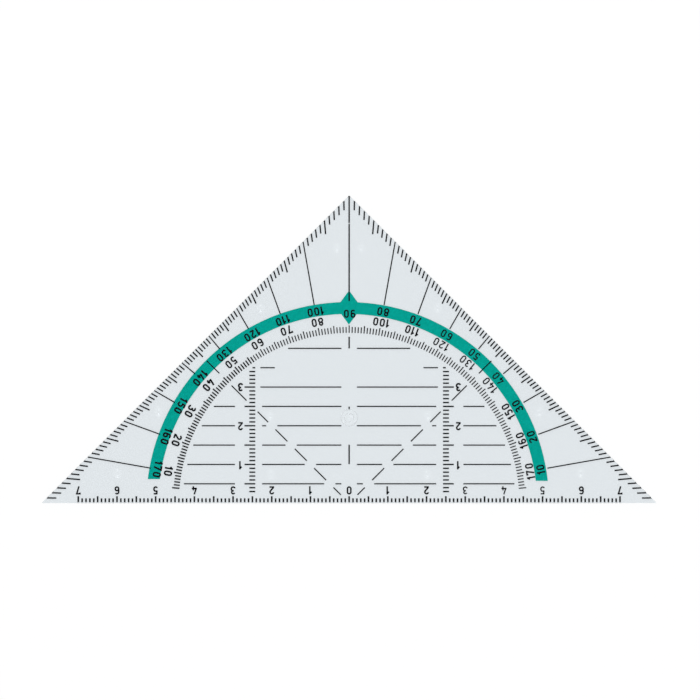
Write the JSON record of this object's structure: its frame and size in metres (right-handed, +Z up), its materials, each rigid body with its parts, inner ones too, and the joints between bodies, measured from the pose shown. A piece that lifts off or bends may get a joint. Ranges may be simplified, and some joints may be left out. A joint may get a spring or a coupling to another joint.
{
  "type": "geometry set square",
  "caption": "Clear one-piece geometry set square: right isosceles triangle with a centimetre ruler, parallel lines and a protractor band printed on its underside.",
  "frame": {"origin": "the zero mark of the ruling edge, in the plane of the desk under the nubs", "axes": "+X to the right along the ruling edge, +Y square to it towards the right-angled corner, +Z up off the desk"},
  "size_m": [0.1586, 0.0795, 0.0023],
  "materials": {
    "clear_plastic": "polished",
    "black_ink": "satin",
    "green_ink": "satin"
  },
  "bodies": {
    "root": {"clear_plate": "clear_plastic", "ruler_graduation": "black_ink", "right_leg_degrees": "black_ink", "left_leg_degrees": "black_ink", "ten_degree_rays": "black_ink", "protractor_ticks": "black_ink", "perpendicular_line": "black_ink", "parallel_lines": "black_ink", "diagonal_lines": "black_ink", "right_height_scale": "black_ink", "left_height_scale": "black_ink", "green_angle_band": "green_ink"}
  },
  "joints": []
}
